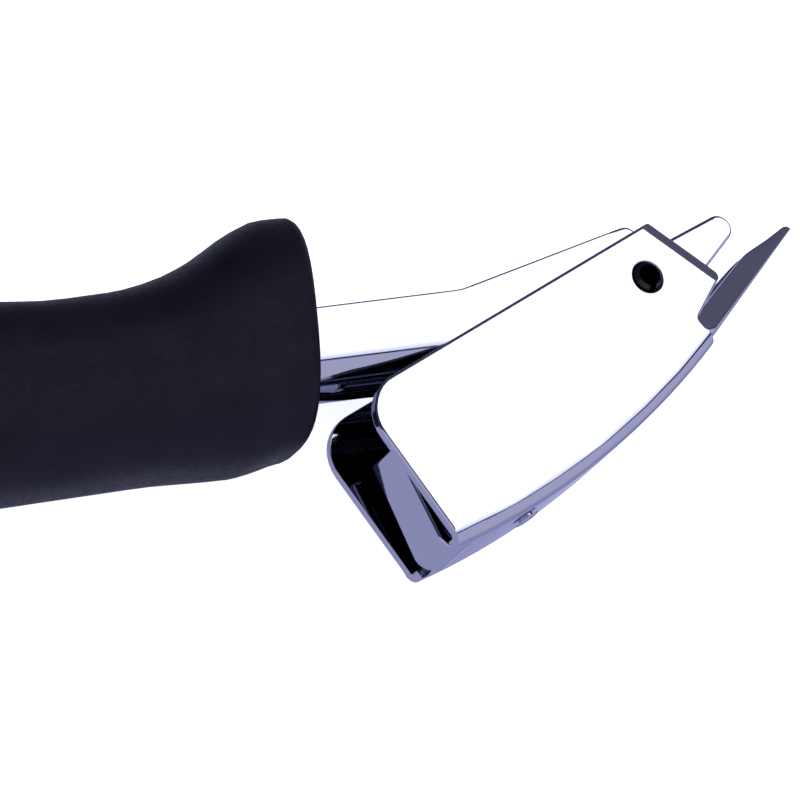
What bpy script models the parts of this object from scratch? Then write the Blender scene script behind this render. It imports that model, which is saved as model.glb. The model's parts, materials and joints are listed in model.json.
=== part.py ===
"""Heavy-duty staple remover, lying on its side. Blender 4.5, metres, +Z up.

The tool is drawn in millimetres about its pivot: x forward along the grip to the claw, y to the top of
the tool, z across it from the mid-plane. PIVOT_AT places that drawing so that the object's box stands
centred on the origin, with its lowest point at z = 0.
"""

import math

import bmesh
import bpy
from mathutils import Matrix, Vector

MM = 0.001

# Frame: where the pivot's middle stands in the world
PIVOT_AT = (61.733, 9.848, 11.474)

# Pressed jaw: side plates, curved web, claw and rear tab from one sheet
SHEET = 1.5
JAW_HALF_WIDTH = 9.1
BEND_REACH = 3.15
BEND_PROFILE = 0.63
INNER_BEND_RADIUS = 0.6
PLATE_FRONT_TOP = (3.15, 8.8)
PLATE_FRONT = (12.75, -0.85)
PLATE_NOTCH = (6.5, -7.55)
WEB_FRONT = (8.75, -11.45)
WEB_REAR = (-44.2, -38.35)
PLATE_REAR_TOP = (-54.7, -13.1)
WEB_SAG = 3.1
REAR_TOP_RADIUS = 7.0
EDGE_BAND = 1.8
EDGE_BAND_DEPTH = 0.75

# Claw, measured along and square to the web's front tangent
CLAW_SLOPE = math.radians(38.9)
CLAW_INSET = 0.45
CLAW_LENGTH = 30.0
CLAW_TROUGH_END = 20.3
CLAW_HALF_WIDTH = 6.8
CLAW_TIP_HALF_WIDTH = 0.55
CLAW_ROOT_HALF_WIDTH = 7.3

# Rear tab, the lever's lower stop
TAB_FOOT = (-44.7, -39.05)
TAB_TOP = (-48.2, -20.15)
TAB_WIDTH = 8.4
TAB_FOOT_WIDTH = 9.6
TAB_ROOT = 7.0
TAB_ROOT_SLOPE = math.radians(21.5)
TAB_ROOT_SKIN = 0.06
TAB_BEND = 3.2
TAB_RELIEF = 1.0
TAB_RELIEF_FROM = -46.5
TAB_RELIEF_TO = -43.5
TAB_RELIEF_HEIGHT = 12.0

# Lever: channel that opens into two cheeks with a beak
LEVER_HALF_WIDTH = 5.9
LEVER_TOP = 2.85
LEVER_BOTTOM = -10.2
LEVER_RADIUS = 5.6
LEVER_END = -108.7
CHEEK_START = -13.7
BEAK_APEX = (27.3, 13.35)
BEAK_RADIUS = 2.15

# Pivot
PIN_RADIUS = 2.25
PIN_BORE = 1.7
PIN_HALF_LENGTH = 9.95
PIN_SLIT = 1.1
PIN_SLIT_ANGLE = math.radians(-88)
RUN = 0.1
GAP = 0.3
BUSH_RADIUS = 3.5
WASHER_RADIUS = 5.0

# Return spring and its anchor on the web
WIRE = 1.1
COIL_RADIUS = 4.5
COIL_START = math.radians(-40)
COIL_TURN = math.radians(4 * 360 + 135)
LEG_HOLE = (-11.7, 0.65)
CLIP_AT = -28.4
RIVET_RADIUS = 1.25
RIVET_HEAD_RADIUS = 2.2
RIVET_SIDES = 20
STRAP = 0.9
STRAP_HALF_LENGTH = 3.0

# Grip: stations of x, middle height, half height, half width
GRIP_FRONT = -57.75
GRIP_LEAN = 0.21
GRIP_END = -155.3
GRIP_HALF_WIDTH = 11.5
GRIP_STATIONS = (
    (-61.2, 0.15, 18.5),
    (-64.2, -0.2, 18.7),
    (-68.2, -1.45, 18.0),
    (-72.7, -3.0, 16.8),
    (-78.7, -4.0, 15.6),
    (-85.7, -4.5, 14.8),
    (-92.7, -4.7, 14.7),
    (-100.7, -4.75, 14.8),
    (-108.7, -4.45, 15.3),
    (-117.7, -4.15, 15.8),
    (-127.7, -4.05, 16.0),
    (-137.7, -4.25, 15.6),
    (-145.7, -4.45, 14.9),
)
GRIP_SQUARENESS = 2.7
GRIP_RIM = 2.4
GRIP_DOME = 11.0
GRIP_LEAN_RUN = 14.0
SLEEVE_WALL = 3.4
TANG_PIN_RADIUS = 2.0
TANG_PINS_AT = (-72.7, -97.7)
TANG_PIN_HEIGHT = -3.15
TANG_PIN_HALF_LENGTH = 7.3

ROUND_SIDES = 40


# Scene helpers

def clear_scene():
    for obj in list(bpy.data.objects):
        bpy.data.objects.remove(obj, do_unlink=True)


def collection(name, hidden=False):
    made = bpy.data.collections.new(name)
    made.hide_render = hidden
    bpy.context.scene.collection.children.link(made)
    return made


def material(name, color, roughness, metallic):
    made = bpy.data.materials.new(name)
    made.use_nodes = True
    shader = made.node_tree.nodes["Principled BSDF"]
    shader.inputs["Base Color"].default_value = (*color, 1.0)
    shader.inputs["Roughness"].default_value = roughness
    shader.inputs["Metallic"].default_value = metallic
    return made


def object_from(bm, name, where):
    """A mesh object from bm, which is in millimetres about the pivot."""
    bmesh.ops.triangulate(bm, faces=bm.faces)
    bmesh.ops.scale(bm, vec=(MM, MM, MM), verts=bm.verts)
    mesh = bpy.data.meshes.new(name)
    bm.to_mesh(mesh)
    bm.free()
    made = bpy.data.objects.new(name, mesh)
    where.objects.link(made)
    return made


def finish(obj, parent, mat):
    """Hangs a finished piece on its body's empty and gives it its material."""
    obj.parent = parent
    obj.data.materials.clear()
    obj.data.materials.append(mat)
    return obj


# Outlines

def rounded(corners, step=math.radians(11)):
    """The outline through corners of (x, y, radius), with an arc at each corner that has a radius."""
    points = []
    for i, (x, y, radius) in enumerate(corners):
        here = Vector((x, y))
        if radius == 0:
            points.append(here)
            continue
        back = (Vector(corners[i - 1][:2]) - here).normalized()
        ahead = (Vector(corners[(i + 1) % len(corners)][:2]) - here).normalized()
        half = back.angle(ahead) / 2
        middle = here + (back + ahead).normalized() * radius / math.sin(half)
        start = here + back * radius / math.tan(half) - middle
        turn = math.pi - 2 * half
        if back.cross(ahead) > 0:
            turn = -turn
        count = max(2, math.ceil(abs(turn) / step))
        points += [middle + Matrix.Rotation(turn * k / count, 2) @ start for k in range(count + 1)]
    return points


def sagging_arc(start, end, sag, count=20):
    """Points from start to end on an arc that bulges to the right of the way there, both ends included."""
    start, end = Vector(start), Vector(end)
    chord = end - start
    radius = (chord.length ** 2 / 4 + sag ** 2) / (2 * sag)
    half = math.asin(chord.length / 2 / radius)
    left = Vector((-chord.y, chord.x)).normalized()
    middle = (start + end) / 2 + left * (radius - sag)
    turns = [half * (2 * k / count - 1) for k in range(count + 1)]
    return [middle + Matrix.Rotation(turn, 2) @ (-left * radius) for turn in turns]


def flat_mesh(points, low, high):
    """A bmesh of the flat outline between the heights low and high."""
    curve = bpy.data.curves.new("outline", "CURVE")
    curve.dimensions = "2D"
    curve.fill_mode = "BOTH"
    curve.extrude = (high - low) / 2
    spline = curve.splines.new("POLY")
    spline.points.add(len(points) - 1)
    for point, (x, y) in zip(spline.points, points):
        point.co = (x, y, 0, 1)
    spline.use_cyclic_u = True
    holder = bpy.data.objects.new("outline", curve)
    mesh = bpy.data.meshes.new_from_object(holder)
    bm = bmesh.new()
    bm.from_mesh(mesh)
    bpy.data.objects.remove(holder)
    bpy.data.curves.remove(curve)
    bpy.data.meshes.remove(mesh)
    bmesh.ops.remove_doubles(bm, verts=bm.verts, dist=0.0001)
    bmesh.ops.dissolve_limit(bm, angle_limit=0.002, verts=bm.verts, edges=bm.edges)
    bmesh.ops.translate(bm, vec=(0, 0, (low + high) / 2), verts=bm.verts)
    bmesh.ops.recalc_face_normals(bm, faces=bm.faces)
    return bm


def cylinder(radius, low, high, x=0.0, y=0.0, sides=ROUND_SIDES):
    bm = bmesh.new()
    bmesh.ops.create_cone(
        bm, cap_ends=True, segments=sides, radius1=radius, radius2=radius, depth=high - low
    )
    bmesh.ops.translate(bm, vec=(x, y, (low + high) / 2), verts=bm.verts)
    return bm


def box(size, center):
    bm = bmesh.new()
    bmesh.ops.create_cube(bm, size=1)
    bmesh.ops.scale(bm, vec=size, verts=bm.verts)
    bmesh.ops.translate(bm, vec=center, verts=bm.verts)
    return bm


def bevel_lengthwise(bm, chosen, reach, segments, profile=0.5):
    """Rounds the edges that run along a shape extruded about z = 0 where chosen(point) holds at both ends.

    A profile of 0.5 is an arc; a larger one bends slowly at its ends and quickly in its middle.
    """
    edges = [
        edge for edge in bm.edges
        if edge.verts[0].co.z * edge.verts[1].co.z > 0 and all(chosen(vert.co) for vert in edge.verts)
    ]
    bmesh.ops.bevel(bm, geom=edges, offset=reach, segments=segments, profile=profile, affect="EDGES")


def loft(sections):
    """Skins rings of the same number of points, with a cap at each end."""
    bm = bmesh.new()
    rings = [[bm.verts.new(point) for point in section] for section in sections]
    for first, second in zip(rings, rings[1:]):
        for k, vert in enumerate(first):
            after = (k + 1) % len(first)
            bm.faces.new((vert, first[after], second[after], second[k]))
    bm.faces.new(rings[0])
    bm.faces.new(rings[-1])
    bmesh.ops.recalc_face_normals(bm, faces=bm.faces)
    return bm


def combine(obj, operation, bm, cutters):
    """Applies a Boolean of the shape in bm to obj."""
    other = object_from(bm, obj.name + "_" + operation.lower(), cutters)
    other.display_type = "WIRE"
    other.hide_render = True
    other.parent = obj
    modifier = obj.modifiers.new(operation.title(), "BOOLEAN")
    modifier.operation = operation
    modifier.solver = "EXACT"
    modifier.object = other


# Jaw

def web_arc(inset, lengthen=0.0):
    """The web's curve from rear to front, moved inward by inset and run on past both ends."""
    along = (Vector(WEB_FRONT) - Vector(WEB_REAR)).normalized()
    arc = sagging_arc(WEB_REAR, WEB_FRONT, WEB_SAG)
    inward = Vector((-along.y, along.x))
    moved = [point + inward * inset for point in arc]
    if lengthen:
        moved.insert(0, moved[0] + (moved[0] - moved[1]).normalized() * lengthen)
        moved.append(moved[-1] + (moved[-1] - moved[-2]).normalized() * lengthen)
    return moved


def near_any(points):
    """A test of whether a vertex stands on one of the outline points."""
    return lambda co: any((co.xy - point).length < 0.01 for point in points)


def jaw_block():
    corners = rounded([
        (*WEB_FRONT, 0),
        (*PLATE_NOTCH, 0.7),
        (*PLATE_FRONT, 1.1),
        (*PLATE_FRONT_TOP, 0.6),
        (*PLATE_REAR_TOP, REAR_TOP_RADIUS),
        (*WEB_REAR, 0),
    ])
    arc = web_arc(0)
    bm = flat_mesh(arc[:-1] + corners[:-1], -JAW_HALF_WIDTH, JAW_HALF_WIDTH)
    bevel_lengthwise(bm, near_any(arc), BEND_REACH, 12, BEND_PROFILE)
    return bm


def jaw_hollow():
    arc = web_arc(SHEET, lengthen=12)
    outline = arc + [Vector((40, 40)), Vector((-80, 40))]
    bm = flat_mesh(outline, SHEET - JAW_HALF_WIDTH, JAW_HALF_WIDTH - SHEET)
    bevel_lengthwise(bm, near_any(arc), INNER_BEND_RADIUS, 4)
    return bm


def edge_band_cutter(side):
    """The wedge that leaves the wide bevelled band along a plate's front edge."""
    start, end = Vector(PLATE_FRONT_TOP), Vector(PLATE_FRONT)
    along = (end - start).normalized()
    outward = Vector((-along.y, along.x))
    sections = []
    for point in (start - along * 5.3, end + along * 5.7):
        inner = point - outward * EDGE_BAND
        beyond = point + outward * EDGE_BAND
        top = JAW_HALF_WIDTH
        sections.append([
            (*inner, side * top),
            (*beyond, side * (top - 2 * EDGE_BAND_DEPTH)),
            (*beyond, side * (top + 2)),
            (*inner, side * (top + 2)),
        ])
    return loft(sections)


def claw_section(station, profile):
    """A section across the claw: profile holds (z, height above its underside)."""
    along = Vector((math.cos(CLAW_SLOPE), math.sin(CLAW_SLOPE)))
    up = Vector((-along.y, along.x))
    foot = Vector(WEB_FRONT) + along * station + up * CLAW_INSET
    return [(*(foot + up * height), z) for z, height in profile]


def claw_width(station):
    """Half width of the claw's underside."""
    return CLAW_HALF_WIDTH + (CLAW_TIP_HALF_WIDTH - CLAW_HALF_WIDTH) * station / CLAW_LENGTH


# Claw stations: distance out from the web, half width of the rim, height of the rim, radius of the bend
CLAW_RIM = (
    (-6.0, None, 1.1, 0.45),
    (-1.0, None, 2.2, 2.0),
    (0.6, None, 3.1, 2.9),
    (2.2, None, 3.9, 2.3),
    (3.6, None, 4.0, 1.4),
    (9.0, None, 3.9, 1.2),
    (14.0, None, 3.7, 1.1),
    (17.0, None, 3.6, 1.0),
    (18.8, None, 3.5, 0.9),
    (20.0, 2.4, 3.4, 0.9),
    (20.8, 2.15, 3.2, 0.8),
    (25.0, 1.25, 2.1, 0.6),
    (29.2, 0.55, 1.2, 0.35),
    (CLAW_LENGTH, 0.3, 0.8, 0.2),
)
CLAW_BEND_STEPS = 6


def claw_half(width, rim, height, bend):
    """The near half of a claw section, from its flat underside round the bend to the rim."""
    turns = [math.pi / 2 * k / CLAW_BEND_STEPS for k in range(CLAW_BEND_STEPS + 1)]
    arc = [(width - bend * (1 - math.sin(turn)), bend * (1 - math.cos(turn))) for turn in turns]
    return arc + [(rim, height)]


def claw_sizes(station, rim):
    """Half width of the underside and of the rim at a station."""
    width = min(claw_width(station), CLAW_ROOT_HALF_WIDTH)
    return width, rim or width


def claw_shell():
    sections = []
    for station, rim, height, bend in CLAW_RIM:
        near = claw_half(*claw_sizes(station, rim), height, bend)
        far = [(-z, h) for z, h in reversed(near)]
        sections.append(claw_section(station, near + far))
    return loft(sections)


def claw_trough():
    sections = []
    for station, rim, height, bend in CLAW_RIM:
        if station > CLAW_TROUGH_END:
            break
        width, rim = claw_sizes(station, rim)
        low = max(0.15, min(width, rim + 0.5) - SHEET)
        high = max(0.2, rim - SHEET + 0.35)
        near = [(low, SHEET + 0.1), (high, 6.0)]
        far = [(-z, h) for z, h in reversed(near)]
        sections.append(claw_section(station + 0.13, near + far))
    return loft(sections)


def tab_blank():
    """The tab's bent strip, its root running on inside the web, wider at its foot."""
    foot, top = Vector(TAB_FOOT), Vector(TAB_TOP)
    rise = (top - foot).normalized()
    inward = Vector((rise.y, -rise.x))
    run = Vector((math.cos(TAB_ROOT_SLOPE), math.sin(TAB_ROOT_SLOPE)))
    skin = Vector((0, TAB_ROOT_SKIN))
    inner_foot = foot + inward * SHEET + Vector((0, SHEET * 1.15))
    corners = [
        (*foot, TAB_BEND),
        (*(foot + run * TAB_ROOT + skin), 0),
        (*(inner_foot + run * (TAB_ROOT - SHEET) - skin), 0),
        (*inner_foot, TAB_BEND - SHEET),
        (*(top + inward * SHEET), 0.4),
        (*top, 0.4),
    ]
    bm = flat_mesh(rounded(corners), -TAB_WIDTH / 2, TAB_WIDTH / 2)
    for vert in bm.verts:
        down = (top.y - vert.co.y) / (top.y - foot.y)
        vert.co.z *= 1 + (TAB_FOOT_WIDTH / TAB_WIDTH - 1) * min(1, max(0, down))
    return bm


def make_jaw(parts, cutters):
    jaw = object_from(jaw_block(), "jaw", parts)
    combine(jaw, "DIFFERENCE", jaw_hollow(), cutters)
    for side in (1, -1):
        combine(jaw, "DIFFERENCE", edge_band_cutter(side), cutters)
    relief = box(
        (TAB_RELIEF_TO - TAB_RELIEF_FROM, TAB_RELIEF_HEIGHT, TAB_FOOT_WIDTH + 2 * TAB_RELIEF),
        ((TAB_RELIEF_FROM + TAB_RELIEF_TO) / 2, TAB_FOOT[1], 0),
    )
    combine(jaw, "DIFFERENCE", relief, cutters)
    combine(jaw, "UNION", tab_blank(), cutters)
    combine(jaw, "UNION", claw_shell(), cutters)
    combine(jaw, "DIFFERENCE", claw_trough(), cutters)
    combine(jaw, "DIFFERENCE", cylinder(PIN_RADIUS + RUN, -20, 20), cutters)
    combine(jaw, "DIFFERENCE", turn_onto_web(cylinder(RIVET_RADIUS + RUN, -3, 3)), cutters)
    return jaw


def web_place(x):
    """The point of the web's underside at x, with the directions along the web and up from it."""
    arc = web_arc(0)
    index = min(range(1, len(arc) - 1), key=lambda k: abs(arc[k].x - x))
    along = (arc[index + 1] - arc[index - 1]).normalized()
    return arc[index], along, Vector((-along.y, along.x))


def turn_onto_web(bm):
    """Turns a shape built about +Z so that it stands on the web's underside at the clip."""
    at, along, up = web_place(CLIP_AT)
    turn = Matrix(((along.x, 0, up.x, at.x), (along.y, 0, up.y, at.y), (0, -1, 0, 0), (0, 0, 0, 1)))
    bmesh.ops.transform(bm, matrix=turn, verts=bm.verts)
    return bm


# Lever

def lever_outline():
    return rounded([
        (LEVER_END, LEVER_BOTTOM - 1, 0),
        (1.2, LEVER_BOTTOM - 1, 2.7),
        (9.8, -0.7, 3.0),
        (*BEAK_APEX, BEAK_RADIUS),
        (4.0, 5.5, 1.8),
        (1.3, 9.8, 2.0),
        (-30.1, LEVER_TOP, 8.0),
        (LEVER_END, LEVER_TOP, 0),
    ])


def rounded_bar(half_width, radius, steps, stations):
    """A tall bar along x with its two bottom edges rounded, through stations of (x, bottom)."""
    top = 40
    turns = [math.pi / 2 * k / steps for k in range(steps + 1)]
    near = [(half_width - radius * (1 - math.cos(turn)), radius * (1 - math.sin(turn))) for turn in turns]
    far = [(-z, rise) for z, rise in reversed(near)]
    sections = []
    for x, bottom in stations:
        sides = [(x, bottom + rise, z) for z, rise in near + far]
        sections.append([(x, top, half_width), *sides, (x, top, -half_width)])
    return loft(sections)


def make_lever(parts, cutters):
    blank = flat_mesh(lever_outline(), -LEVER_HALF_WIDTH - 1, LEVER_HALF_WIDTH + 1)
    lever = object_from(blank, "lever", parts)
    behind, ahead = LEVER_END - 5, 40
    bar = rounded_bar(LEVER_HALF_WIDTH, LEVER_RADIUS, 10, ((behind, LEVER_BOTTOM), (ahead, LEVER_BOTTOM)))
    combine(lever, "INTERSECT", bar, cutters)

    floor = LEVER_BOTTOM + SHEET
    below = floor - 6
    channel = rounded_bar(
        LEVER_HALF_WIDTH - SHEET, LEVER_RADIUS - SHEET, 6,
        ((behind, floor), (CHEEK_START - 3, floor), (CHEEK_START, below), (ahead, below)),
    )
    combine(lever, "DIFFERENCE", channel, cutters)
    combine(lever, "DIFFERENCE", cylinder(PIN_RADIUS + RUN, -20, 20), cutters)
    combine(lever, "DIFFERENCE", cylinder(WIRE / 2 + GAP / 2, 0, 20, *LEG_HOLE, sides=12), cutters)
    for x in TANG_PINS_AT:
        combine(lever, "DIFFERENCE", cylinder(TANG_PIN_RADIUS + RUN, -20, 20, x, TANG_PIN_HEIGHT), cutters)
    return lever


# Pivot

def make_pin(parts, cutters):
    """Rolled spring pin: a split tube with coned ends."""
    bm = cylinder(PIN_RADIUS, -PIN_HALF_LENGTH, PIN_HALF_LENGTH)
    ends = [edge for edge in bm.edges if abs(edge.verts[0].co.z - edge.verts[1].co.z) < 0.01]
    bmesh.ops.bevel(bm, geom=ends, offset=0.5, segments=1, affect="EDGES")
    pin = object_from(bm, "pivot_spring_pin", parts)
    combine(pin, "DIFFERENCE", cylinder(PIN_BORE, -20, 20), cutters)
    slit = box((PIN_RADIUS * 2, PIN_SLIT, 40), (PIN_RADIUS, 0, 0))
    bmesh.ops.rotate(slit, cent=(0, 0, 0), matrix=Matrix.Rotation(PIN_SLIT_ANGLE, 3, "Z"), verts=slit.verts)
    combine(pin, "DIFFERENCE", slit, cutters)
    return pin


def ring(name, outer, inner, low, high, parts, cutters):
    made = object_from(cylinder(outer, low, high), name, parts)
    combine(made, "DIFFERENCE", cylinder(inner, low - 1, high + 1), cutters)
    return made


# Return spring

def spring_path():
    """Leg under the clip, coil about the bush, and a leg whose end is bent into the near cheek."""
    pitch = WIRE + 0.15
    count = 52
    coil = []
    for k in range(count + 1):
        angle = COIL_START + COIL_TURN * k / count
        z = pitch * COIL_TURN / math.tau * (k / count - 0.5)
        coil.append(Vector((COIL_RADIUS * math.cos(angle), COIL_RADIUS * math.sin(angle), z)))
    low, high = coil[0].z, coil[-1].z
    at, along, up = web_place(CLIP_AT)
    lie = SHEET + GAP + WIRE / 2
    end = at + up * lie - along * 5
    landing = at + up * lie + along * 4
    web_leg = [Vector((*end, low - 1.0)), Vector((*landing, low - 1.0))]
    hook_x, hook_y = LEG_HOLE
    lever_leg = [
        Vector((hook_x + 1.2, hook_y, high)),
        Vector((hook_x + 0.35, hook_y, high + 0.35)),
        Vector((hook_x, hook_y, high + 1.2)),
        Vector((hook_x, hook_y, LEVER_HALF_WIDTH - 0.1)),
    ]
    return web_leg + coil + lever_leg


def make_clip(parts, cutters):
    """Strap that holds the spring's leg down on the web: flat under the rivet, stepped up over the leg."""
    low = SHEET + GAP
    step = low + 1.5
    strap = (
        (3.6, low),
        (3.6, low + STRAP),
        (-1.9, low + STRAP),
        (-1.9, step + STRAP),
        (-5.4, step + STRAP),
        (-5.4, step + 0.05),
        (-2.7, step + 0.05),
        (-2.7, low),
    )
    at, along, up = web_place(CLIP_AT)
    sections = []
    for reach in (-STRAP_HALF_LENGTH, STRAP_HALF_LENGTH):
        foot = at + along * reach
        sections.append([(*(foot + up * height), z) for z, height in strap])
    clip = object_from(loft(sections), "spring_clip", parts)
    combine(clip, "DIFFERENCE", turn_onto_web(cylinder(RIVET_RADIUS + RUN, -3, 8)), cutters)
    return clip


def make_rivet(parts):
    """Rivet through the web and the clip: a low head under the web and a peened end on the clip."""
    top = SHEET + 2 * GAP + STRAP
    profile = (
        (1.2, -GAP - 0.32),
        (1.9, -GAP - 0.2),
        (RIVET_HEAD_RADIUS, -GAP),
        (RIVET_RADIUS, -GAP),
        (RIVET_RADIUS, top),
        (1.65, top),
        (1.5, top + 0.5),
        (0.7, top + 0.75),
    )
    turns = [math.tau * k / RIVET_SIDES for k in range(RIVET_SIDES)]
    rings = []
    for radius, height in profile:
        rings.append([(radius * math.cos(turn), radius * math.sin(turn), height) for turn in turns])
    return object_from(turn_onto_web(loft(rings)), "clip_rivet", parts)


def wire(name, points, radius, where):
    curve = bpy.data.curves.new(name, "CURVE")
    curve.dimensions = "3D"
    curve.bevel_depth = radius * MM
    curve.bevel_resolution = 2
    curve.use_fill_caps = True
    spline = curve.splines.new("POLY")
    spline.points.add(len(points) - 1)
    for point, co in zip(spline.points, points):
        point.co = (*(co * MM), 1)
    made = bpy.data.objects.new(name, curve)
    where.objects.link(made)
    return made


# Grip

def grip_ring(x, middle, height, width, lean=0.0, sides=ROUND_SIDES):
    """A rounded section across the grip at x."""
    points = []
    for k in range(sides):
        angle = math.tau * (k + 0.5) / sides
        c, s = math.cos(angle), math.sin(angle)
        y = middle + height * math.copysign(abs(s) ** (2 / GRIP_SQUARENESS), s)
        z = width * math.copysign(abs(c) ** (2 / GRIP_SQUARENESS), c)
        points.append((x + lean * y, y, z))
    return points


def smooth_stations(parts_each):
    """The grip's stations with more of them between, on a smooth (Catmull-Rom) curve."""
    stations = [Vector(station) for station in GRIP_STATIONS]
    made = []
    for i in range(len(stations) - 1):
        before, start = stations[max(i - 1, 0)], stations[i]
        end, after = stations[i + 1], stations[min(i + 2, len(stations) - 1)]
        for k in range(parts_each):
            t = k / parts_each
            made.append(0.5 * (
                2 * start + (end - before) * t
                + (2 * before - 5 * start + 4 * end - after) * t ** 2
                + (3 * start - before - 3 * end + after) * t ** 3
            ))
    return made + [stations[-1]]


def make_grip(parts, cutters):
    def sections(inset, front, back, rim, dome, fineness=1):
        rings = []
        stations = smooth_stations(fineness)
        x0, y0, h0 = stations[0]
        rim_steps = 4 * fineness
        for k in range(rim_steps + 1):
            angle = math.pi / 2 * k / rim_steps
            trim = inset + rim * (1 - math.sin(angle))
            x = front - rim * (1 - math.cos(angle))
            rings.append(grip_ring(x, y0, h0 - trim, GRIP_HALF_WIDTH - trim, GRIP_LEAN))
        for x, y, h in stations[1:]:
            if front - rim - 1 > x > back + dome:
                lean = GRIP_LEAN * max(0.0, 1 - (front - rim - x) / GRIP_LEAN_RUN)
                rings.append(grip_ring(x, y, h - inset, GRIP_HALF_WIDTH - inset, lean))
        x1, y1, h1 = stations[-1]
        dome_steps = 5 * fineness
        for k in range(dome_steps + 1):
            angle = math.pi / 2 * k / (dome_steps + 0.4)
            shrink = math.cos(angle)
            x = back + dome - dome * math.sin(angle)
            rings.append(grip_ring(x, y1, (h1 - inset) * shrink, (GRIP_HALF_WIDTH - inset) * shrink))
        return rings

    skin = sections(0, GRIP_FRONT, GRIP_END, GRIP_RIM, GRIP_DOME, fineness=2)
    sleeve = object_from(loft(skin), "grip_sleeve", parts)
    cavity_front = GRIP_FRONT - 6.0
    cavity = sections(SLEEVE_WALL, cavity_front, GRIP_END + 5.0, 1.0, 7.0)
    combine(sleeve, "DIFFERENCE", loft(cavity), cutters)
    slot_height = LEVER_TOP - LEVER_BOTTOM + 2 * GAP
    slot_middle = (LEVER_TOP + LEVER_BOTTOM) / 2
    slot_width = 2 * (LEVER_HALF_WIDTH + GAP)
    mouth = box((30, slot_height, slot_width), (GRIP_FRONT, slot_middle, 0))
    combine(sleeve, "DIFFERENCE", mouth, cutters)

    filling = sections(SLEEVE_WALL + GAP, cavity_front - GAP, GRIP_END + 5.0 + GAP, 1.0, 7.0)
    core = object_from(loft(filling), "grip_core", parts)
    slot_length = cavity_front - LEVER_END + GAP + 20
    slot = box((slot_length, slot_height, slot_width), (LEVER_END - GAP + slot_length / 2, slot_middle, 0))
    combine(core, "DIFFERENCE", slot, cutters)
    for x in TANG_PINS_AT:
        combine(core, "DIFFERENCE", cylinder(TANG_PIN_RADIUS + RUN, -30, 30, x, TANG_PIN_HEIGHT), cutters)
    return sleeve, core


def main():
    clear_scene()
    parts = collection("staple_remover")
    cutters = collection("cutters", hidden=True)

    tool = bpy.data.objects.new("tool", None)
    tool.location = Vector(PIVOT_AT) * MM
    parts.objects.link(tool)
    swing = bpy.data.objects.new("lever_axis", None)
    swing.parent = tool
    parts.objects.link(swing)

    chrome = material("chrome_steel", (0.80, 0.80, 0.83), 0.08, 1.0)
    black_steel = material("black_steel", (0.02, 0.02, 0.025), 0.35, 1.0)
    spring_steel = material("spring_steel", (0.45, 0.45, 0.46), 0.3, 1.0)
    zinc = material("zinc_plated", (0.6, 0.6, 0.62), 0.3, 1.0)
    soft_black = material("soft_black", (0.018, 0.018, 0.022), 0.55, 0.0)
    hard_black = material("hard_black", (0.03, 0.03, 0.03), 0.45, 0.0)

    finish(make_jaw(parts, cutters), tool, chrome)
    finish(make_pin(parts, cutters), tool, black_steel)
    cheek_in = LEVER_HALF_WIDTH - SHEET
    plate_in = JAW_HALF_WIDTH - SHEET
    bore = PIN_RADIUS + RUN
    bush = ring("pivot_bush", BUSH_RADIUS, bore, GAP - cheek_in, cheek_in - GAP, parts, cutters)
    finish(bush, swing, zinc)
    washer_in, washer_out = LEVER_HALF_WIDTH + GAP, plate_in - GAP
    finish(ring("washer_near", WASHER_RADIUS, bore, washer_in, washer_out, parts, cutters), tool, zinc)
    finish(ring("washer_far", WASHER_RADIUS, bore, -washer_out, -washer_in, parts, cutters), tool, zinc)

    finish(wire("return_spring", spring_path(), WIRE / 2, parts), tool, spring_steel)
    finish(make_clip(parts, cutters), tool, zinc)
    finish(make_rivet(parts), tool, zinc)

    finish(make_lever(parts, cutters), swing, chrome)
    sleeve, core = make_grip(parts, cutters)
    finish(sleeve, swing, soft_black)
    finish(core, swing, hard_black)
    for name, x in zip(("tang_pin_front", "tang_pin_rear"), TANG_PINS_AT):
        rod = cylinder(TANG_PIN_RADIUS, -TANG_PIN_HALF_LENGTH, TANG_PIN_HALF_LENGTH, x, TANG_PIN_HEIGHT)
        finish(object_from(rod, name, parts), swing, zinc)


main()
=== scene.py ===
"""Staple remover: finished surfaces, materials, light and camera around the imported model."""

import json
import math

import bmesh
import bpy
from mathutils import Matrix, Vector

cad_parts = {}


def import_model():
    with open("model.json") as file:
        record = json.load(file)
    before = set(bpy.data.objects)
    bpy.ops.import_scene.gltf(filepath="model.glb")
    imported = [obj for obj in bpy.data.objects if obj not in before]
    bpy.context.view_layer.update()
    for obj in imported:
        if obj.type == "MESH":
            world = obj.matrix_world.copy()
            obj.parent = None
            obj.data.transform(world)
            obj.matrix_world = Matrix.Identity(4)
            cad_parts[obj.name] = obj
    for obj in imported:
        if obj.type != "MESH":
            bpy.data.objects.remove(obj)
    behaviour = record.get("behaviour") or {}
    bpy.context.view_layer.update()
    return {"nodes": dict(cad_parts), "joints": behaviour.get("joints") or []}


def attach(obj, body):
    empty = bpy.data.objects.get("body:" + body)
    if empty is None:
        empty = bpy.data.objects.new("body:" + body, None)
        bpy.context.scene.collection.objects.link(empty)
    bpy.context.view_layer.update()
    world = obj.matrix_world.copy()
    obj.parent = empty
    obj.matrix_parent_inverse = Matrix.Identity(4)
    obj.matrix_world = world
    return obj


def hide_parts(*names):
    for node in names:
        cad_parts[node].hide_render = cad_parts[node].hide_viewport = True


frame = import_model()
PIVOT = Vector(frame["joints"][0]["pos_m"])
MM = 0.001

# Camera: a long lens that looks down on the tool's side
VIEW_RIGHT = Vector((0.868, -0.271, 0.415))
VIEW_UP = Vector((0.109, 0.920, 0.374))
VIEW_WIDTH = 121.2 * MM
VIEW_CENTER = PIVOT + Vector((-34.80, -7.13, -13.16)) * MM
LENS = 1500.0
SENSOR = 36.0

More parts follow.
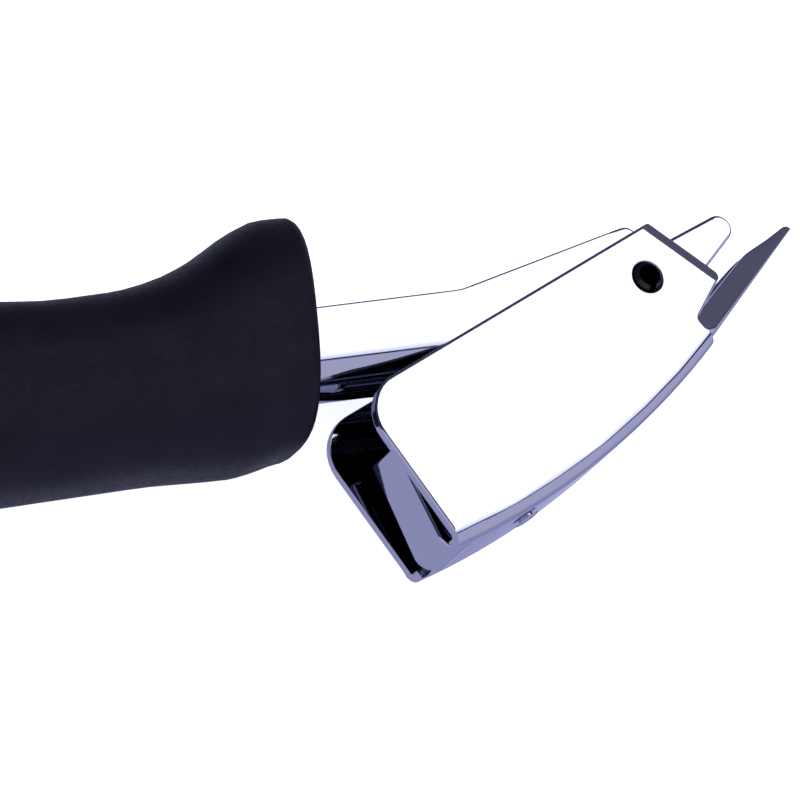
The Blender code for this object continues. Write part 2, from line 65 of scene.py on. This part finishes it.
# Light
SOFTBOX_TOWARD = Vector((0.483, 0.279, 0.828))
SOFTBOX_DISTANCE = 0.9
SOFTBOX_SIZE = 0.4
SOFTBOX_RADIANCE = 6.5
FILL_TOWARD = Vector((-0.1, 0.05, 1))
FILL_DISTANCE = 0.45
FILL_SIZE = 0.5
FILL_RADIANCE = 0.8

# The room that the plating mirrors. A colour comes in between two values of how far a direction leans
# toward the one that the colour goes by (1 is straight at it, 0 is square to it).
WORLD_PANEL = (2.5, 2.5, 2.6)
WORLD_PANEL_EDGE = (1.3, 1.35, 1.85)
WORLD_SEAM = (0.05, 0.05, 0.08)
WORLD_SIDE = (0.70, 0.70, 0.96)
WORLD_BELOW = (0.52, 0.54, 0.82)
WORLD_BACK = (0.06, 0.06, 0.10)
WORLD_FRONT = (0.16, 0.155, 0.23)
WORLD_SIDE_TOWARD = (0.0, -1.0, 0.0)
WORLD_FRONT_TOWARD = (0.95, -0.25, 0.18)
FRONT_BEGINS = (0.15, 0.6)
PANEL_FADES = (-0.30, 0.06)
PANEL_BEGINS = (0.925, 0.94)
PANEL_STOPS = (-0.38, -0.35)
SEAM_BEGINS = (0.015, 0.03)
SIDE_BEGINS = (0.095, 0.11)
BELOW_BEGINS = (0.12, 0.3)
BACKDROP = (0.9, 0.9, 0.9)

FLOOR_RADIUS = 0.6
FLOOR_GLOW = 0.8

# Rounding of sheared and turned edges; the lever's edge is rounded most along its beak
JAW_EDGE = 0.4 * MM
LEVER_EDGE = 0.22 * MM
BEAK_EDGE = 0.45 * MM
SHADED_EDGE = 0.25 * MM
PIN_EDGE = 0.12 * MM
SLEEVE_EDGE = 0.3 * MM

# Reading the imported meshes: which points and faces are one, what faces sideways, what bends smoothly
WELD = 0.002 * MM
SAME_PLANE = math.radians(0.6)
FACES_SIDEWAYS = 0.999
FACES_ROUND = 0.05
SMOOTH_UP_TO = math.radians(24)
SIDE_SMOOTH_UP_TO = math.radians(15)

# Places along the lever where its long faces are cut across, to keep their shading even
CROSS_CUTS = (-66, -60, -52, -44, -36, -28, -20)


# Materials

NOISE_SPAN = (0.3, 0.7)


class Shader:
    """A Principled material whose nodes are added one by one."""

    def __init__(self, name, color, roughness, metallic=0.0):
        self.material = bpy.data.materials.new(name)
        self.material.use_nodes = True
        self.tree = self.material.node_tree
        self.main = self.tree.nodes["Principled BSDF"]
        self.main.inputs["Base Color"].default_value = (*color, 1)
        self.main.inputs["Roughness"].default_value = roughness
        self.main.inputs["Metallic"].default_value = metallic
        self.place = self.add("ShaderNodeTexCoord").outputs["Object"]
        self.normal = None

    def soften_edges(self, radius):
        """Shades sheared edges as if they were rounded off to this radius."""
        node = self.add("ShaderNodeBevel", samples=8)
        node.inputs["Radius"].default_value = radius
        self.normal = node.outputs["Normal"]
        self.link(self.normal, self.main.inputs["Normal"])

    def add(self, kind, **values):
        node = self.tree.nodes.new(kind)
        for key, value in values.items():
            setattr(node, key, value)
        return node

    def link(self, source, target):
        self.tree.links.new(source, target)

    def noise(self, scale, detail, stretch=None):
        texture = self.add("ShaderNodeTexNoise")
        texture.inputs["Scale"].default_value = scale
        texture.inputs["Detail"].default_value = detail
        place = self.place
        if stretch:
            mapping = self.add("ShaderNodeMapping")
            mapping.inputs["Scale"].default_value = stretch
            self.link(place, mapping.inputs["Vector"])
            place = mapping.outputs["Vector"]
        self.link(place, texture.inputs["Vector"])
        return texture.outputs[0]

    def tint(self, value, first, second):
        """Colours the surface from first to second as a noise rises."""
        node = self.add("ShaderNodeValToRGB")
        for element, color, position in zip(node.color_ramp.elements, (first, second), NOISE_SPAN):
            element.color = (*color, 1)
            element.position = position
        self.link(value, node.inputs["Fac"])
        self.link(node.outputs["Color"], self.main.inputs["Base Color"])

    def roughness(self, value, low, high):
        """Spreads the roughness from low to high as a noise rises."""
        node = self.add("ShaderNodeMapRange")
        for socket, number in zip(("From Min", "From Max", "To Min", "To Max"), (*NOISE_SPAN, low, high)):
            node.inputs[socket].default_value = number
        self.link(value, node.inputs["Value"])
        self.link(node.outputs["Result"], self.main.inputs["Roughness"])

    def bump(self, height, distance):
        """Raises the surface by up to distance where a noise is high."""
        node = self.add("ShaderNodeBump")
        node.inputs["Distance"].default_value = distance
        self.link(height, node.inputs["Height"])
        if self.normal:
            self.link(self.normal, node.inputs["Normal"])
        self.normal = node.outputs["Normal"]
        self.link(self.normal, self.main.inputs["Normal"])


def chrome():
    """Bright plating: a dark mirror with the faint waviness of pressed sheet and a few fine scratches."""
    shader = Shader("bright_plating", (0.46, 0.47, 0.54), 0.05, 1.0)
    shader.soften_edges(SHADED_EDGE)
    shader.main.inputs["Specular Tint"].default_value = (0.65, 0.65, 0.75, 1)
    shader.roughness(shader.noise(900, 4), 0.035, 0.085)
    shader.bump(shader.noise(60, 1), 0.02 * MM)
    shader.bump(shader.noise(1400, 3, stretch=(1, 9, 1)), 0.0006 * MM)
    return shader.material


def black_oxide():
    """Oiled black oxide on a rolled pin, browner and duller where it is rubbed."""
    shader = Shader("black_oxide", (0.012, 0.012, 0.014), 0.3, 0.4)
    shader.tint(shader.noise(700, 5), (0.004, 0.004, 0.006), (0.014, 0.013, 0.015))
    shader.roughness(shader.noise(1500, 4), 0.22, 0.42)
    shader.bump(shader.noise(2500, 3), 0.004 * MM)
    return shader.material


def spring_steel():
    """Drawn and heat-blued wire."""
    shader = Shader("drawn_wire", (0.30, 0.30, 0.31), 0.32, 1.0)
    shader.tint(shader.noise(400, 4), (0.22, 0.22, 0.24), (0.42, 0.40, 0.38))
    shader.roughness(shader.noise(2500, 3), 0.25, 0.45)
    return shader.material


def zinc():
    """Zinc plating with its cloudy crystals."""
    shader = Shader("zinc_plating", (0.62, 0.63, 0.65), 0.3, 1.0)
    shader.tint(shader.noise(500, 5), (0.52, 0.54, 0.58), (0.70, 0.70, 0.70))
    shader.roughness(shader.noise(1200, 4), 0.22, 0.42)
    shader.bump(shader.noise(1800, 4), 0.003 * MM)
    return shader.material


def soft_grip():
    """Soft moulded black plastic with a fine grain and a dusty sheen."""
    shader = Shader("soft_moulding", (0.012, 0.011, 0.018), 0.5)
    shader.tint(shader.noise(90, 4), (0.004, 0.0035, 0.008), (0.007, 0.006, 0.012))
    shader.roughness(shader.noise(1100, 4), 0.42, 0.56)
    shader.bump(shader.noise(3200, 2), 0.012 * MM)
    shader.bump(shader.noise(700, 4), 0.015 * MM)
    shader.main.inputs["Specular IOR Level"].default_value = 0.12
    return shader.material


def hard_core():
    """Stiff moulded core."""
    shader = Shader("core_moulding", (0.03, 0.03, 0.03), 0.45)
    shader.tint(shader.noise(200, 3), (0.025, 0.025, 0.026), (0.038, 0.038, 0.038))
    shader.bump(shader.noise(1500, 3), 0.01 * MM)
    return shader.material


def pale_floor():
    """Matte white board, lit from within so that it takes hardly any shadow."""
    shader = Shader("pale_floor", (0.93, 0.93, 0.94), 0.6)
    shader.main.inputs["Emission Color"].default_value = (1, 1, 1, 1)
    shader.main.inputs["Emission Strength"].default_value = FLOOR_GLOW
    shader.roughness(shader.noise(300, 4), 0.55, 0.7)
    return shader.material


# Pieces

def is_outline(edge):
    """Whether an edge runs round one of the broad outer side faces."""
    if len(edge.link_faces) != 2 or not edge.is_convex:
        return False
    side, rim = sorted(edge.link_faces, key=lambda face: -abs(face.normal.z))
    outward = side.normal.z * (edge.verts[0].co.z - PIVOT.z)
    return outward > 0 and abs(side.normal.z) > FACES_SIDEWAYS and abs(rim.normal.z) < FACES_ROUND


def is_bend(edge):
    """Whether the surface bends smoothly across an edge; a flat side face allows less than the rest."""
    beside_flat = any(abs(face.normal.z) > FACES_SIDEWAYS for face in edge.link_faces)
    return edge.calc_face_angle(0) < (SIDE_SMOOTH_UP_TO if beside_flat else SMOOTH_UP_TO)


def cut_across(bm):
    """Cuts the lever's long faces across."""
    for x in CROSS_CUTS:
        everything = bm.verts[:] + bm.edges[:] + bm.faces[:]
        at = PIVOT + Vector((x, 0, 0)) * MM
        bmesh.ops.bisect_plane(bm, geom=everything, plane_co=at, plane_no=(1, 0, 0), dist=WELD / 2)


def cleaned_mesh(node, name, material):
    """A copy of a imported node's mesh with its triangles joined into flat faces and its edges marked."""
    bm = bmesh.new()
    bm.from_mesh(frame["nodes"][node].data)
    bmesh.ops.remove_doubles(bm, verts=bm.verts, dist=WELD)
    bmesh.ops.dissolve_limit(bm, angle_limit=SAME_PLANE, verts=bm.verts, edges=bm.edges)
    if node == "lever":
        cut_across(bm)
    for face in bm.faces:
        face.smooth = True
    for edge in bm.edges:
        edge.smooth = is_bend(edge)
    outline = bm.edges.layers.float.new("bevel_weight_edge")
    for edge in bm.edges:
        thinner = node == "lever" and edge.verts[0].co.x < PIVOT.x
        edge[outline] = is_outline(edge) * (LEVER_EDGE / BEAK_EDGE if thinner else 1)
    mesh = bpy.data.meshes.new(name)
    bm.to_mesh(mesh)
    bm.free()
    mesh.materials.clear()
    mesh.materials.append(material)
    return mesh


def finished_copy(node, name, body, material, bevel_width, outline_only=False):
    """The node's shape with smooth bends, flat faces and rounded edges, standing for that node."""
    piece = bpy.data.objects.new(name, cleaned_mesh(node, name, material))
    bpy.context.scene.collection.objects.link(piece)
    bevel = piece.modifiers.new("Rounded edges", "BEVEL")
    bevel.width = bevel_width
    bevel.segments = 3
    bevel.limit_method = "WEIGHT" if outline_only else "ANGLE"
    bevel.angle_limit = SMOOTH_UP_TO
    bevel.use_clamp_overlap = not outline_only
    bevel.loop_slide = False
    bevel.harden_normals = True
    normals = piece.modifiers.new("Flat faces stay flat", "WEIGHTED_NORMAL")
    normals.keep_sharp = True
    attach(piece, body)
    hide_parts(node)
    return piece


# Stage

def floor(material):
    bm = bmesh.new()
    bmesh.ops.create_circle(bm, cap_ends=True, segments=96, radius=FLOOR_RADIUS)
    mesh = bpy.data.meshes.new("floor")
    bm.to_mesh(mesh)
    bm.free()
    mesh.materials.append(material)
    made = bpy.data.objects.new("floor", mesh)
    bpy.context.scene.collection.objects.link(made)
    made.visible_glossy = False
    return made


def area_light(name, toward, distance, size, radiance):
    """A round soft light that looks at the origin; what the plating mirrors is the room's own panel."""
    data = bpy.data.lights.new(name, "AREA")
    data.shape = "DISK"
    data.size = size
    data.energy = radiance * math.pi * math.pi * size * size / 4
    made = bpy.data.objects.new(name, data)
    made.location = toward.normalized() * distance
    made.rotation_euler = toward.to_track_quat("Z", "Y").to_euler()
    made.visible_glossy = False
    bpy.context.scene.collection.objects.link(made)
    return made


def world():
    """A room with a white panel over the tool, a pale side beyond a dark seam, and a pale floor below."""
    made = bpy.data.worlds.new("room")
    made.use_nodes = True
    tree = made.node_tree
    place = tree.nodes.new("ShaderNodeTexCoord").outputs["Generated"]

    def toward(direction):
        node = tree.nodes.new("ShaderNodeVectorMath")
        node.operation = "DOT_PRODUCT"
        node.inputs[1].default_value = direction
        tree.links.new(place, node.inputs[0])
        return node.outputs["Value"]

    def rise(value, begins):
        """0 up to the first value of begins, 1 from the second on."""
        node = tree.nodes.new("ShaderNodeMapRange")
        node.interpolation_type = "SMOOTHSTEP"
        node.inputs["From Min"].default_value, node.inputs["From Max"].default_value = begins
        tree.links.new(value, node.inputs["Value"])
        return node.outputs["Result"]

    def mix(factor, first, second):
        node = tree.nodes.new("ShaderNodeMix")
        node.data_type = "RGBA"
        tree.links.new(factor, node.inputs["Factor"])
        for socket, color in (("A", first), ("B", second)):
            if isinstance(color, tuple):
                node.inputs[socket].default_value = (*color, 1)
            else:
                tree.links.new(color, node.inputs[socket])
        return node.outputs["Result"]

    aside = toward(WORLD_SIDE_TOWARD)
    dark = mix(rise(toward(WORLD_FRONT_TOWARD), FRONT_BEGINS), WORLD_BACK, WORLD_FRONT)
    panel = mix(rise(aside, PANEL_FADES), WORLD_PANEL, WORLD_PANEL_EDGE)
    around = mix(rise(toward(SOFTBOX_TOWARD), PANEL_BEGINS), dark, panel)
    bounded = mix(rise(aside, PANEL_STOPS), dark, around)
    framed = mix(rise(aside, SEAM_BEGINS), bounded, WORLD_SEAM)
    upper = mix(rise(aside, SIDE_BEGINS), framed, WORLD_SIDE)
    room = mix(rise(toward((0, 0, -1)), BELOW_BEGINS), upper, WORLD_BELOW)
    seen = mix(tree.nodes.new("ShaderNodeLightPath").outputs["Is Camera Ray"], room, BACKDROP)
    tree.links.new(seen, tree.nodes["Background"].inputs["Color"])
    bpy.context.scene.world = made


def camera():
    right = VIEW_RIGHT.normalized()
    up = (VIEW_UP - right * VIEW_UP.dot(right)).normalized()
    back = right.cross(up)
    data = bpy.data.cameras.new("camera")
    data.lens = LENS
    data.sensor_width = SENSOR
    data.clip_start = 0.01
    made = bpy.data.objects.new("camera", data)
    turn = Matrix((right, up, back)).transposed().to_4x4()
    made.matrix_world = Matrix.Translation(VIEW_CENTER + back * VIEW_WIDTH * LENS / SENSOR) @ turn
    bpy.context.scene.collection.objects.link(made)
    bpy.context.scene.camera = made


def main():
    plating = chrome()
    oxide = black_oxide()
    wire = spring_steel()
    plated = zinc()
    grip = soft_grip()
    core = hard_core()

    finished_copy("jaw", "finished_jaw", "jaw_body", plating, JAW_EDGE, True)
    finished_copy("lever", "finished_lever", "lever_body", plating, BEAK_EDGE, True)
    finished_copy("pivot_spring_pin", "finished_pin", "jaw_body", oxide, PIN_EDGE)
    finished_copy("spring_clip", "finished_clip", "jaw_body", plated, PIN_EDGE)
    finished_copy("grip_sleeve", "finished_sleeve", "lever_body", grip, SLEEVE_EDGE)
    for node, material in (
        ("washer_near", plated), ("washer_far", plated), ("clip_rivet", plating), ("pivot_bush", plated),
        ("tang_pin_front", plated), ("tang_pin_rear", plated), ("return_spring", wire), ("grip_core", core),
    ):
        frame["nodes"][node].data.materials[0] = material
        for face in frame["nodes"][node].data.polygons:
            face.use_smooth = True

    floor(pale_floor())
    world()
    area_light("softbox", SOFTBOX_TOWARD, SOFTBOX_DISTANCE, SOFTBOX_SIZE, SOFTBOX_RADIANCE)
    area_light("fill", FILL_TOWARD, FILL_DISTANCE, FILL_SIZE, FILL_RADIANCE)
    camera()
    bpy.context.scene.view_settings.view_transform = "Standard"


main()
